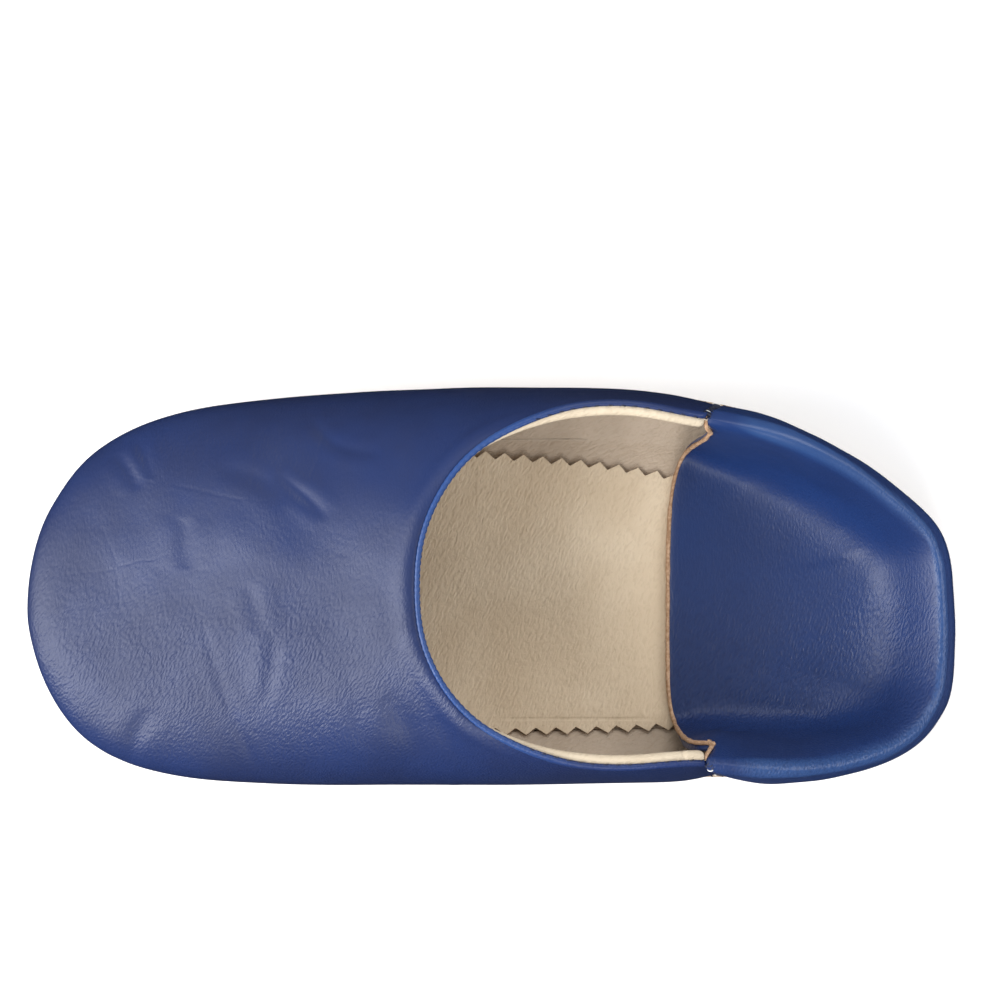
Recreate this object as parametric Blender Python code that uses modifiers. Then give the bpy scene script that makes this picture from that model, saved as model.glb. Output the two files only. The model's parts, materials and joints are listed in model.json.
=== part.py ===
"""Babouche slipper: a soft leather mule, right foot, with its heel quarter folded down inside.

It is four leathers: the vamp from the toe back to the side seams, the heel quarter that turns over its
fold line and lies forward on the insole, the natural sole that curls up to a whipped seam, and the
loose insole with its pinked edge. Metres, +Z up, toe towards -X, little toe side towards +Y.
"""

import math

import bmesh
import bpy
import numpy as np

# Driving sizes, in metres
LENGTH = 0.260
BALL_WIDTH = 0.111
INSTEP_HEIGHT = 0.0705
SEAM_HEIGHT = 0.0250
TOE_SPRING = 0.0120
UPPER_LEATHER = 0.0018
SOLE_LEATHER = 0.0026
INSOLE_LEATHER = 0.0012
JOINT_GAP = 0.0003

# The whipped seam between sole and upper lies in a valley between two soft bulges
VALLEY = 0.0012
UPPER_BULGE_RISE = 0.0040
SOLE_BULGE_DROP = 0.0045
SOLE_BULGE_INSET = 0.0003
SOLE_EDGE_ROUND = 0.0190
SOLE_EDGE_TIGHTER = 0.0040

# The side seams between vamp and quarter: station, forward lean at the top, and pinch on each side
SIDE_SEAM_SHARE = 0.742
SEAM_LEAN = 0.0042
SEAM_LEAN_SPREAD = 0.0140
LATERAL_PINCH = 0.0012
MEDIAL_PINCH = 0.0030
PINCH_SPREAD = 0.0065
RIB_TURN = 0.0200

# The folded quarter: how far in its crest lies, the crest's radius, and the run of its inner slope
CREST_INSET = 0.0044
CREST_RADIUS = 0.0024
SLOPE_RUN_SIDE = 0.0140
SLOPE_RUN_BACK = 0.0260

# The insole's pinked edge
INSOLE_INSET_LATERAL = 0.0225
INSOLE_INSET_MEDIAL = 0.0140
TOOTH_PITCH = 0.0053
TOOTH_DEPTH = 0.0020

# How many ribs and rows each leather is laid out in
VAMP_RIBS_A_SIDE = 30
VAMP_ROWS = 12
QUARTER_RIBS_A_SIDE = 18
WALL_ROWS = 7
SLOPE_ROWS = 8
FLOOR_ROWS = 4
ROWS_IN_VALLEY = 2
SOLE_STATIONS = 30
SOLE_ROWS = 7
SOLE_LANES = 4
INSOLE_LANES = 2
DENSE = 160

# The last's roundness in section, and the side seam's and throat fan's centre
SECTION_POWER = 2.5
SOLE_POWER = 2.2
FAN_CENTRE_SHARE = 0.60

# One row for each section. along: share of LENGTH from the toe. lateral, medial: shares of half
# BALL_WIDTH. arch: the crown above the widest line, a share of INSTEP_HEIGHT less SEAM_HEIGHT; behind
# the throat it is the cone of the last. seam: share of SEAM_HEIGHT. spring: share of TOE_SPRING.
SECTIONS = [
    # along  lateral medial  arch   seam   spring
    (0.0000, -0.120, 0.120, 0.000, 1.090, 1.000),
    (0.0054, 0.120, 0.290, 0.095, 1.088, 0.970),
    (0.0161, 0.300, 0.450, 0.146, 1.085, 0.910),
    (0.0344, 0.460, 0.615, 0.185, 1.080, 0.830),
    (0.0559, 0.600, 0.740, 0.222, 1.078, 0.740),
    (0.0989, 0.755, 0.870, 0.295, 1.065, 0.550),
    (0.1634, 0.870, 0.955, 0.430, 1.035, 0.320),
    (0.2500, 0.935, 0.990, 0.607, 1.005, 0.080),
    (0.3200, 0.965, 1.000, 0.728, 0.975, 0.000),
    (0.3900, 0.985, 1.000, 0.895, 0.945, 0.000),
    (0.4258, 0.990, 1.000, 0.967, 0.930, 0.000),
    (0.4860, 1.000, 1.000, 1.176, 0.900, 0.000),
    (0.5400, 1.000, 0.998, 1.393, 0.875, 0.040),
    (0.6000, 0.998, 0.992, 1.700, 0.845, 0.090),
    (0.6500, 0.988, 0.985, 1.780, 0.800, 0.090),
    (0.7000, 0.960, 0.975, 1.705, 0.735, 0.040),
    (0.7420, 0.925, 0.972, 1.670, 0.690, 0.000),
    (0.7900, 0.870, 0.982, 1.600, 0.640, 0.000),
    (0.8500, 0.755, 0.975, 1.500, 0.600, 0.000),
    (0.9000, 0.625, 0.930, 1.400, 0.590, 0.005),
    (0.9400, 0.485, 0.862, 1.300, 0.575, 0.060),
    (0.9700, 0.360, 0.752, 1.200, 0.530, 0.120),
    (0.9850, 0.265, 0.650, 1.150, 0.490, 0.165),
    (0.9950, 0.120, 0.530, 1.100, 0.470, 0.210),
    (1.0000, -0.220, 0.220, 1.000, 0.465, 0.250),
]

# The upper's top edge seen from the side: the collar to the side seam, then the quarter's fold line
TOPLINE = [
    # along  height, a share of INSTEP_HEIGHT
    (0.300, 1.010),
    (0.4258, 1.000),
    (0.486, 0.994),
    (0.540, 0.982),
    (0.600, 0.963),
    (0.650, 0.946),
    (0.700, 0.917),
    (0.742, 0.866),
    (0.785, 0.783),
    (0.826, 0.708),
    (0.867, 0.606),
    (0.908, 0.504),
    (0.949, 0.400),
    (0.983, 0.298),
    (1.000, 0.270),
]

# The quarter's free edge in plan, from the lateral seam across the insole to the medial seam
FREE_EDGE = [
    # along  across, a share of half BALL_WIDTH
    (0.7426, 0.785),
    (0.7240, 0.740),
    (0.7080, 0.665),
    (0.7005, 0.580),
    (0.6950, 0.440),
    (0.6925, 0.230),
    (0.6920, -0.070),
    (0.6915, -0.370),
    (0.6925, -0.570),
    (0.6965, -0.680),
    (0.7030, -0.755),
    (0.7130, -0.795),
    (0.7260, -0.810),
    (0.7426, -0.820),
]

HALF_TURN = math.pi


def hermite(knots, values, at):
    """A smooth curve through a table's values, with each knot's slope from its two neighbours."""
    knots = np.asarray(knots, float)
    values = np.asarray(values, float)
    slopes = np.gradient(values, knots)
    at = np.clip(at, knots[0], knots[-1])
    i = np.clip(np.searchsorted(knots, at) - 1, 0, len(knots) - 2)
    span = knots[i + 1] - knots[i]
    u = (at - knots[i]) / span
    rise = (3 - 2 * u) * u * u
    lead = u * (1 - u) ** 2 * span
    trail = u * u * (u - 1) * span
    return values[i] + (values[i + 1] - values[i]) * rise + lead * slopes[i] + trail * slopes[i + 1]


def station_angle(share):
    """A station's angle round the outline: 0 at the toe, half a turn at the heel."""
    return np.arccos(np.clip(1 - 2 * np.asarray(share, float), -1, 1))


SECTION_ANGLES = station_angle([row[0] for row in SECTIONS])


def section(column, share):
    """One column of SECTIONS at a station; the angles keep toe and heel round."""
    return hermite(SECTION_ANGLES, [row[column] for row in SECTIONS], station_angle(share))


def share_of(x):
    return np.clip(np.asarray(x, float) / LENGTH + 0.5, 0, 1)


def x_of(share):
    return (np.asarray(share, float) - 0.5) * LENGTH


def lateral_y(share):
    return section(1, share) * BALL_WIDTH / 2


def medial_y(share):
    return -section(2, share) * BALL_WIDTH / 2


def seam_z(share):
    return section(4, share) * SEAM_HEIGHT


def ground_z(share):
    return np.maximum(section(5, share), 0) * TOE_SPRING


def topline_z(share):
    return hermite([r[0] for r in TOPLINE], [r[1] for r in TOPLINE], share) * INSTEP_HEIGHT


def widest_z(share):
    """Height of the upper's widest line; over the low heel the bulge shrinks with the wall."""
    seam = seam_z(share)
    return seam + np.minimum(UPPER_BULGE_RISE, 0.35 * (topline_z(share) - seam))


def crown_z(share):
    return widest_z(share) + section(3, share) * (INSTEP_HEIGHT - SEAM_HEIGHT)


def last_z(x, y):
    """Height of the last's upper surface over a plan point, from its rounded section."""
    share = share_of(x)
    left, right = lateral_y(share), medial_y(share)
    half = np.maximum((left - right) / 2, 1e-6)
    off = np.clip(np.abs(y - (left + right) / 2) / half, 0, 1)
    low = widest_z(share)
    return low + (crown_z(share) - low) * (1 - off**SECTION_POWER) ** (1 / SECTION_POWER)


def outline(angles):
    """Plan points round the shoe: toe at 0, lateral side first, heel at half a turn."""
    angles = np.asarray(angles, float)
    share = (1 - np.cos(angles)) / 2
    y = np.where(np.mod(angles, 2 * HALF_TURN) <= HALF_TURN, lateral_y(share), medial_y(share))
    return np.stack([x_of(share), y], axis=-1)


def inward(angles):
    """Unit plan vectors into the shoe, square to the outline."""
    step = 1e-3
    along = outline(np.asarray(angles) + step) - outline(np.asarray(angles) - step)
    across = np.stack([along[..., 1], -along[..., 0]], axis=-1)
    return across / np.linalg.norm(across, axis=-1, keepdims=True)


def rib_way(angle):
    """The plan direction that a rib leans in: square to the outline, but straight across at the seams."""
    share = (1 - math.cos(angle)) / 2
    turned = np.clip(abs(share - SIDE_SEAM_SHARE) * LENGTH / RIB_TURN, 0, 1)
    square = inward(angle)
    straight = np.array([0, np.sign(square[1])])
    way = straight + (square - straight) * turned
    return way / np.linalg.norm(way)


def drawn_in(angles, inset):
    """Plan points of the outline drawn in towards its middle; unlike square offsets it never folds."""
    return outline(angles) * (1 - np.multiply.outer(inset, [2 / LENGTH, 2 / BALL_WIDTH]))


def resample(points, shares):
    """Points at the given shares of a polyline's length."""
    steps = np.linalg.norm(np.diff(points, axis=0), axis=1)
    along = np.concatenate([[0], np.cumsum(steps)]) / steps.sum()
    return np.stack([np.interp(shares, along, axis) for axis in points.T], axis=1)


def valley_arc(drop, depth, count):
    """(inset, height) from the seam out to a bulge: an arc that ends upright at inset 0."""
    radius = (drop**2 + depth**2) / (2 * depth)
    down = drop * (1 - np.linspace(0, 1, count))
    return radius - np.sqrt(radius**2 - down**2), -down


def side_seam_shift(points):
    """Leans and pinches the upper round its two side seams."""
    x, y, z = points[..., 0], points[..., 1], points[..., 2]
    share = share_of(x)
    seam, top = seam_z(share), topline_z(share)
    high = np.clip((z - seam) / (top - seam), 0, 1)
    off = x - x_of(SIDE_SEAM_SHARE)
    lean = SEAM_LEAN * high**3 * np.exp(-((off / SEAM_LEAN_SPREAD) ** 2))
    depth = np.where(y > 0, LATERAL_PINCH, MEDIAL_PINCH)
    grip = np.sin(HALF_TURN * high**0.6) * 0.8 + 0.2 * high
    pinch = depth * grip * np.exp(-((off / PINCH_SPREAD) ** 2))
    return np.stack([x - lean, y - np.sign(y) * pinch, z], axis=-1)


def opening():
    """Plan points of the throat and collar: where the cone of the last rises above the topline."""
    shares = np.linspace(TOPLINE[0][0], SIDE_SEAM_SHARE, 1200)
    open_now = crown_z(shares) > topline_z(shares)
    start = shares[np.nonzero(~open_now)[0][-1]]
    shares = start + (SIDE_SEAM_SHARE - start) * np.linspace(0, 1, 400) ** 2
    low = widest_z(shares)
    high = np.clip((topline_z(shares) - low) / (crown_z(shares) - low), 0, 1)
    off = (1 - high**SECTION_POWER) ** (1 / SECTION_POWER)
    left, right = lateral_y(shares), medial_y(shares)
    middle, half = (left + right) / 2, (left - right) / 2
    x = x_of(shares)
    lateral = np.stack([x, middle + off * half], axis=1)
    medial = np.stack([x, middle - off * half], axis=1)
    return np.concatenate([lateral[::-1], medial[1:]])


def throat_point(edge, foot):
    """The point of the opening that a vamp rib from this outline point runs to."""
    centre_x = x_of(FAN_CENTRE_SHARE)
    lateral = foot[1] > 0
    half = len(edge) // 2
    if foot[0] >= centre_x:
        side = edge[: half + 1][::-1] if lateral else edge[half:]
        return np.array([foot[0], np.interp(foot[0], side[:, 0], side[:, 1])])
    centre = np.array([centre_x, (lateral_y(FAN_CENTRE_SHARE) + medial_y(FAN_CENTRE_SHARE)) / 2])
    rays = edge - centre
    turn = np.arctan2(rays[:, 1], -rays[:, 0])
    aim = math.atan2(foot[1] - centre[1], centre[0] - foot[0])
    ahead = rays[:, 0] < 0
    order = np.argsort(turn[ahead])
    found = [np.interp(aim, turn[ahead][order], edge[ahead][order, k]) for k in (0, 1)]
    return np.array(found)


def valley_points(angle, bulge_z, drop, sign):
    """A rib's first points, from the seam to the bulge above it (sign 1) or below it (sign -1)."""
    foot = outline(angle)
    inset, height = valley_arc(drop, VALLEY, ROWS_IN_VALLEY + 1)
    plan = foot + np.outer(inset, rib_way(angle))
    return np.column_stack([plan, bulge_z + sign * height])


def vamp_ribs():
    """The vamp's outer face: ribs from the sole seam over the widest line to the throat and collar."""
    edge = opening()
    last_angle = station_angle(SIDE_SEAM_SHARE - JOINT_GAP / 2 / LENGTH)
    angles = np.linspace(last_angle, -last_angle, 2 * VAMP_RIBS_A_SIDE + 1)
    ribs = []
    for angle in angles:
        share = (1 - math.cos(angle)) / 2
        foot = outline(angle)
        seam, widest = seam_z(share) + JOINT_GAP / 2, widest_z(share)
        valley = valley_points(angle, widest, widest - seam, 1)
        reach = throat_point(edge, foot) - foot
        run = np.linspace(0, 1, DENSE) ** 2
        plan = foot + np.outer(run, reach)
        face = np.column_stack([plan, last_z(plan[:, 0], plan[:, 1])])
        face[0, 2] = widest
        spread = np.linspace(0, 1, VAMP_ROWS + 1) ** 1.4
        ribs.append(np.concatenate([valley[:-1], resample(face, spread)]))
    return np.array(ribs)


def nearest_outline(points):
    """For plan points inside the shoe: distance to the outline, and the angle of its nearest point."""
    angles = np.linspace(0, 2 * HALF_TURN, 4001)
    rim = outline(angles)
    gaps = np.linalg.norm(points[:, None] - rim[None], axis=2)
    at = gaps.argmin(axis=1)
    return gaps[np.arange(len(points)), at], angles[at]


def crest_point(angle):
    """The quarter's fold line: the highest point of the rib at this angle."""
    plan = outline(angle) + CREST_INSET * rib_way(angle)
    return np.array([*plan, topline_z(share_of(plan[0]))])


def inner_slope(crest, floor, run):
    """(inset, height) down the folded quarter's face, from its crest to the insole."""
    drop = crest - floor
    radius = min(CREST_RADIUS, drop / 3)
    end = math.atan2(run - radius, drop)
    turn = np.linspace(HALF_TURN / 2, end, 12)
    inset = CREST_INSET + radius * np.cos(turn)
    height = crest - radius + radius * np.sin(turn)
    start = np.array([inset[-1], height[-1]])
    down = np.array([math.sin(end), -math.cos(end)])
    foot = np.array([CREST_INSET + run, floor])
    handle = np.array([foot[0] - 0.55 * run, floor])
    lead = start + down * 0.5 * (height[-1] - floor)
    u = np.linspace(0, 1, 40)[1:, None]
    bend = (1 - u) ** 3 * start + 3 * (1 - u) ** 2 * u * lead + 3 * (1 - u) * u**2 * handle + u**3 * foot
    return np.concatenate([inset, bend[:, 0]]), np.concatenate([height, bend[:, 1]])


def flap_floor(share):
    """Height of the flap's upper face where it lies on the insole."""
    stack = SOLE_LEATHER + INSOLE_LEATHER + UPPER_LEATHER + 2 * JOINT_GAP
    return ground_z(share) + stack


def slope_run(angle):
    """How far the quarter's inner slope runs in: short at the sides, long at the back of the heel."""
    share = (1 - math.cos(angle)) / 2
    behind = np.clip((share - SIDE_SEAM_SHARE) / (1 - SIDE_SEAM_SHARE), 0, 1)
    return SLOPE_RUN_SIDE + (SLOPE_RUN_BACK - SLOPE_RUN_SIDE) * behind**3


def flap_path(angle, edge):
    """The folded quarter's face from its crest to its free edge, and where its slope ends."""
    crest = crest_point(angle)
    u = np.linspace(0, 1, DENSE)[:, None] ** 1.5
    aim = crest[:2] + rib_way(angle) * min(slope_run(angle), np.linalg.norm(edge - crest[:2]) * 0.6)
    plan = (1 - u) ** 2 * crest[:2] + 2 * u * (1 - u) * aim + u**2 * edge
    insets, angles = nearest_outline(plan)
    heights = []
    for point, inset, near in zip(plan, insets, angles):
        run, height = inner_slope(crest_point(near)[2], flap_floor(share_of(point[0])), slope_run(near))
        heights.append(np.interp(inset, run, height))
    heights[0] = crest[2]
    flat = insets > CREST_INSET + slope_run(angle)
    end = flat.argmax() if flat.any() else DENSE - 1
    return np.column_stack([plan, heights]), end


def free_edge(share):
    """A plan point of the quarter's free edge at this share of its length."""
    rows = np.array(FREE_EDGE)
    plan = np.column_stack([x_of(rows[:, 0]), rows[:, 1] * BALL_WIDTH / 2])
    steps = np.linalg.norm(np.diff(plan, axis=0), axis=1)
    along = np.concatenate([[0], np.cumsum(steps)]) / steps.sum()
    return np.array([hermite(along, plan[:, 0], share), hermite(along, plan[:, 1], share)])


def quarter_ribs():
    """The quarter's outer face: up from the sole seam, over the fold and down to its free edge."""
    first = station_angle(SIDE_SEAM_SHARE + JOINT_GAP / 2 / LENGTH)
    count = 2 * QUARTER_RIBS_A_SIDE
    ribs = []
    for i, angle in enumerate(np.linspace(first, 2 * HALF_TURN - first, count + 1)):
        share = (1 - math.cos(angle)) / 2
        foot, into = outline(angle), rib_way(angle)
        crest = crest_point(angle)
        seam, widest = seam_z(share) + JOINT_GAP / 2, widest_z(share)
        valley = valley_points(angle, widest, widest - seam, 1)
        lean = math.atan2(CREST_INSET - CREST_RADIUS, crest[2] - CREST_RADIUS - widest)
        turn = np.linspace(lean, HALF_TURN / 2, 14)
        arc_inset = CREST_INSET - CREST_RADIUS * np.cos(turn)
        arc_z = crest[2] - CREST_RADIUS + CREST_RADIUS * np.sin(turn)
        up = np.linspace(0, 1, 40)
        wall_inset = np.concatenate([arc_inset[0] * up[:-1] ** 2.2, arc_inset])
        wall_z = np.concatenate([widest + (arc_z[0] - widest) * up[:-1], arc_z])
        wall = np.column_stack([foot + np.outer(wall_inset, into), wall_z])
        flap, end = flap_path(angle, free_edge(i / count))
        steps = np.concatenate([[0], np.cumsum(np.linalg.norm(np.diff(flap, axis=0), axis=1))])
        foot_share = min(steps[end] / steps[-1], SLOPE_ROWS / (SLOPE_ROWS + FLOOR_ROWS))
        down = foot_share * np.linspace(0, 1, SLOPE_ROWS + 1) ** 1.25
        level = foot_share + (1 - foot_share) * np.linspace(0, 1, FLOOR_ROWS + 1)
        outside = resample(wall, np.linspace(0, 1, WALL_ROWS + 1) ** 0.6)
        inside = resample(flap, np.concatenate([down, level[1:]]))
        ribs.append(np.concatenate([valley[:-1], outside, inside[1:]]))
    return np.array(ribs)


def edge_round(angle):
    """How far in the sole's rounded edge runs; tighter at toe and heel."""
    return SOLE_EDGE_ROUND - SOLE_EDGE_TIGHTER * np.cos(angle) ** 2


def sole_z(share, angle, inset):
    """Height of the sole's underside at an inset from the outline at this angle."""
    rim_share = (1 - math.cos(angle)) / 2
    ground = ground_z(share)
    bulge = np.maximum(seam_z(rim_share) - SOLE_BULGE_DROP, ground)
    left = np.clip(1 - (inset - SOLE_BULGE_INSET) / edge_round(angle), 0, 1)
    curl = (1 - left**SOLE_POWER) ** (1 / SOLE_POWER)
    return ground + (bulge - ground) * (1 - curl)


def sole_face():
    """The sole's outer face as rings round the edge and lanes across the bottom: points and faces."""
    count = 2 * SOLE_STATIONS
    rings = []
    for angle in np.linspace(0, 2 * HALF_TURN, count, endpoint=False):
        rim_share = (1 - math.cos(angle)) / 2
        foot, into = outline(angle), inward(angle)
        seam = seam_z(rim_share) - JOINT_GAP / 2
        bulge = max(seam_z(rim_share) - SOLE_BULGE_DROP, ground_z(rim_share))
        inset, height = valley_arc(seam - bulge, VALLEY - SOLE_BULGE_INSET, ROWS_IN_VALLEY + 1)
        valley = np.column_stack([foot + np.outer(inset + SOLE_BULGE_INSET, into), bulge - height])
        run = np.linspace(0, 1, DENSE) ** 2 * edge_round(angle) + SOLE_BULGE_INSET
        plan = drawn_in(angle, run)
        curl = np.column_stack([plan, sole_z(share_of(plan[:, 0]), angle, run)])
        curl[0, 2] = bulge
        rings.append(np.concatenate([valley[:-1], resample(curl, np.linspace(0, 1, SOLE_ROWS + 1))]))
    rings = np.array(rings)
    rows = rings.shape[1]
    points = [tuple(p) for p in rings.reshape(-1, 3)]
    return points, band(count, rows) + bottom_lanes(points, rings[:, -1], rows, SOLE_LANES, ground_z)


def band(count, rows):
    """Faces of a closed band whose points run row by row at each of count stops."""
    return [
        (i * rows + j, (i + 1) % count * rows + j, (i + 1) % count * rows + j + 1, i * rows + j + 1)
        for i in range(count)
        for j in range(rows - 1)
    ]


def bottom_lanes(points, ring, stride, lanes, height):
    """Fills a ring with lanes across it, adding points, and returns the faces."""
    count = len(ring)
    half = count // 2
    lines = [[stride - 1] * (lanes + 1)]
    for i in range(1, half):
        left, right = ring[i], ring[count - i]
        line = [i * stride + stride - 1]
        for k in range(1, lanes):
            x, y = (left + (right - left) * k / lanes)[:2]
            line.append(len(points))
            points.append((x, y, float(height(share_of(x)))))
        lines.append(line + [(count - i) * stride + stride - 1])
    lines.append([half * stride + stride - 1] * (lanes + 1))
    faces = []
    for ahead, behind in zip(lines, lines[1:]):
        for k in range(lanes):
            corners = (ahead[k], ahead[k + 1], behind[k + 1], behind[k])
            faces.append(tuple(dict.fromkeys(corners)))
    return faces


def insole_inset(angles):
    """How far the insole's edge lies in from the outline: more on the lateral side."""
    middle = (INSOLE_INSET_LATERAL + INSOLE_INSET_MEDIAL) / 2
    return middle + (INSOLE_INSET_LATERAL - INSOLE_INSET_MEDIAL) / 2 * np.sin(angles)


def insole_face():
    """The insole's underside: pinked edge, a smooth ring inside it, and lanes across, laid in the sole."""
    fine = np.linspace(0, HALF_TURN, 400)
    loop = drawn_in(fine, insole_inset(fine))
    along = np.concatenate([[0], np.cumsum(np.linalg.norm(np.diff(loop, axis=0), axis=1))])
    teeth = round(along[-1] / TOOTH_PITCH)
    lateral = np.interp(np.linspace(0, along[-1], 2 * teeth + 1), along, fine)
    angles = np.concatenate([lateral, 2 * HALF_TURN - lateral[-2:0:-1]])
    zigzag = TOOTH_DEPTH * (np.arange(len(angles)) % 2 - 0.5)
    lift = SOLE_LEATHER + JOINT_GAP
    rows = []
    for angle, tooth in zip(angles, zigzag):
        insets = insole_inset(angle) + np.array([tooth, 1.5 * TOOTH_DEPTH])
        plan = drawn_in(angle, insets)
        under = sole_z(share_of(plan[:, 0]), angle, insets)
        slope = (sole_z(share_of(plan[:, 0]), angle, insets - TOOTH_DEPTH / 2) - under) / (TOOTH_DEPTH / 2)
        rows.append(np.column_stack([plan, under + lift * np.sqrt(1 + slope**2) + JOINT_GAP * slope]))
    rings = np.array(rows)
    points = [tuple(p) for p in rings.reshape(-1, 3)]
    faces = band(len(rings), 2)
    faces += bottom_lanes(points, rings[:, 1], 2, INSOLE_LANES, lambda share: ground_z(share) + lift)
    return points, faces


def ribbed_face(ribs):
    """Points and faces of a face laid out in ribs."""
    count, rows = ribs.shape[:2]
    faces = [
        (i * rows + j, i * rows + j + 1, (i + 1) * rows + j + 1, (i + 1) * rows + j)
        for i in range(count - 1)
        for j in range(rows - 1)
    ]
    return [tuple(p) for p in ribs.reshape(-1, 3)], faces


def leather(name, points, faces, thickness, squared, material, outward=1, shape=None):
    """Gives a face its thickness with Solidify, then squares the borders that meet another leather.

    squared maps a border point's index to the axes that its edge of the wall must not move along.
    shape moves the finished wall's points, both faces alike.
    """
    mesh = bpy.data.meshes.new(name)
    mesh.from_pydata(points, [], faces)
    build = bmesh.new()
    build.from_mesh(mesh)
    bmesh.ops.recalc_face_normals(build, faces=build.faces)
    build.faces.ensure_lookup_table()
    top = max(build.faces, key=lambda f: outward * f.calc_center_median().z)
    if top.normal.z * outward < 0:
        bmesh.ops.reverse_faces(build, faces=build.faces)
    build.to_mesh(mesh)
    build.free()
    shell = bpy.data.objects.new(name, mesh)
    bpy.context.scene.collection.objects.link(shell)
    solidify = shell.modifiers.new("leather", "SOLIDIFY")
    solidify.thickness = thickness
    solidify.offset = -1
    solidify.use_even_offset = True
    graph = bpy.context.evaluated_depsgraph_get()
    solid = bpy.data.meshes.new_from_object(shell.evaluated_get(graph))
    solid.name = name
    normals = [v.normal.copy() for v in mesh.vertices]
    for index, axes in squared.items():
        flat = normals[index].copy()
        for axis in axes:
            flat[axis] = 0
        moved = mesh.vertices[index].co - flat * (thickness / flat.length_squared)
        solid.vertices[len(points) + index].co = moved
    if shape:
        corners = shape(np.array([tuple(v.co) for v in solid.vertices]))
        solid.vertices.foreach_set("co", corners.ravel())
    bpy.data.objects.remove(shell)
    piece = bpy.data.objects.new(name, solid)
    solid.materials.clear()
    solid.materials.append(material)
    solid.shade_smooth()
    solid.set_sharp_from_angle(angle=math.radians(50))
    bpy.data.collections["babouche_slipper"].objects.link(piece)
    return piece


def leather_material(name, colour, roughness):
    material = bpy.data.materials.new(name)
    material.use_nodes = True
    shader = material.node_tree.nodes["Principled BSDF"]
    shader.inputs["Base Color"].default_value = (*colour, 1)
    shader.inputs["Roughness"].default_value = roughness
    shader.inputs["Metallic"].default_value = 0
    return material


def upper_borders(ribs):
    """The upper's borders at the sole seam (level) and at the side seams (square to the length)."""
    count, rows = ribs.shape[:2]
    squared = {i * rows: (2,) for i in range(count)}
    for rib in (0, count - 1):
        squared.update({rib * rows + j: (0,) for j in range(1, rows)})
        squared[rib * rows] = (0, 2)
    return squared


def main():
    for obj in list(bpy.data.objects):
        bpy.data.objects.remove(obj)
    collection = bpy.data.collections.new("babouche_slipper")
    bpy.context.scene.collection.children.link(collection)

    blue = leather_material("blue_leather", (0.045, 0.080, 0.230), 0.45)
    natural = leather_material("natural_sole_leather", (0.58, 0.45, 0.32), 0.65)
    lining = leather_material("insole_leather", (0.50, 0.40, 0.27), 0.70)

    vamp = vamp_ribs()
    points, faces = ribbed_face(vamp)
    borders = upper_borders(vamp)
    leather("upper_vamp", points, faces, UPPER_LEATHER, borders, blue, shape=side_seam_shift)

    quarter = quarter_ribs()
    points, faces = ribbed_face(quarter)
    borders = upper_borders(quarter)
    leather("upper_heel_quarter", points, faces, UPPER_LEATHER, borders, blue, shape=side_seam_shift)

    points, faces = sole_face()
    rim = {i * (SOLE_ROWS + ROWS_IN_VALLEY + 1): (2,) for i in range(2 * SOLE_STATIONS)}
    leather("sole", points, faces, SOLE_LEATHER, rim, natural, outward=-1)

    points, faces = insole_face()
    leather("insole", points, faces, INSOLE_LEATHER, {}, lining, outward=-1)


main()
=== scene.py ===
"""A right-foot babouche slipper in soft blue leather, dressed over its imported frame."""

import json
import math

import bpy
import numpy as np
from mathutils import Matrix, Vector, kdtree, noise
from mathutils.bvhtree import BVHTree

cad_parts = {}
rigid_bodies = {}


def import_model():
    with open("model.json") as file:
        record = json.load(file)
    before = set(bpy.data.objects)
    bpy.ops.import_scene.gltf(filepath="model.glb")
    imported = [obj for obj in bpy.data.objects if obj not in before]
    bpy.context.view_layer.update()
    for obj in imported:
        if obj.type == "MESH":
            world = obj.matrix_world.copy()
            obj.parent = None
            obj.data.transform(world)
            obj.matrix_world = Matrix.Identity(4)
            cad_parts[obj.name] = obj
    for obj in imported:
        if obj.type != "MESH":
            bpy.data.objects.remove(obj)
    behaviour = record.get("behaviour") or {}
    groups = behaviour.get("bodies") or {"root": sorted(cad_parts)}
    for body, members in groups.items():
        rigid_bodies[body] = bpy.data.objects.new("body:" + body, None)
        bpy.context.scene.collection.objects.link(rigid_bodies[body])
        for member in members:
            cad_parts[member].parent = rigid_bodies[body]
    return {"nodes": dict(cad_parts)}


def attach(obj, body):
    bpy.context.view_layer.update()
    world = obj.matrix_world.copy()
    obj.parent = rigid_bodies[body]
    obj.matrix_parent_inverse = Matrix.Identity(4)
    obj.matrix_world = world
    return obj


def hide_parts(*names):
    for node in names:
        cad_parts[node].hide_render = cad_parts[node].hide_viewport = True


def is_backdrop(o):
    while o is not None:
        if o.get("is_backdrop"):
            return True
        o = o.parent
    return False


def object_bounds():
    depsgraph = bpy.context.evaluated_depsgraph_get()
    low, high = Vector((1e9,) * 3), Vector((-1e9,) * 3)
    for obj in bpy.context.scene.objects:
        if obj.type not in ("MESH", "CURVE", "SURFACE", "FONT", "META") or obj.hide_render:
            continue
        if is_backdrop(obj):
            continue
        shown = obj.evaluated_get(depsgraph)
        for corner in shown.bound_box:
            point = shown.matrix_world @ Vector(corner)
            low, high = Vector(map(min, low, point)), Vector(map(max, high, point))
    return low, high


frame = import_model()
cad_low, cad_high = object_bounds()


# The sole is one natural vegetable-tanned leather, wetted and curled up all round the foot.
# Its rim is whipped to the upper, which puckers it a little at each stitch.


class Value:
    """One socket of a finish; arithmetic on it adds Math nodes."""

    def __init__(self, finish, socket):
        self.finish, self.socket = finish, socket

    def math(self, operation, *values):
        return self.finish.node("ShaderNodeMath", {"operation": operation}, dict(enumerate(values)))

    def __add__(self, other):
        return self.math("ADD", self, other)

    def __sub__(self, other):
        return self.math("SUBTRACT", self, other)

    def __rsub__(self, other):
        return self.math("SUBTRACT", other, self)

    def __mul__(self, other):
        return self.math("MULTIPLY", self, other)

    def __abs__(self):
        return self.math("ABSOLUTE", self)


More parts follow.
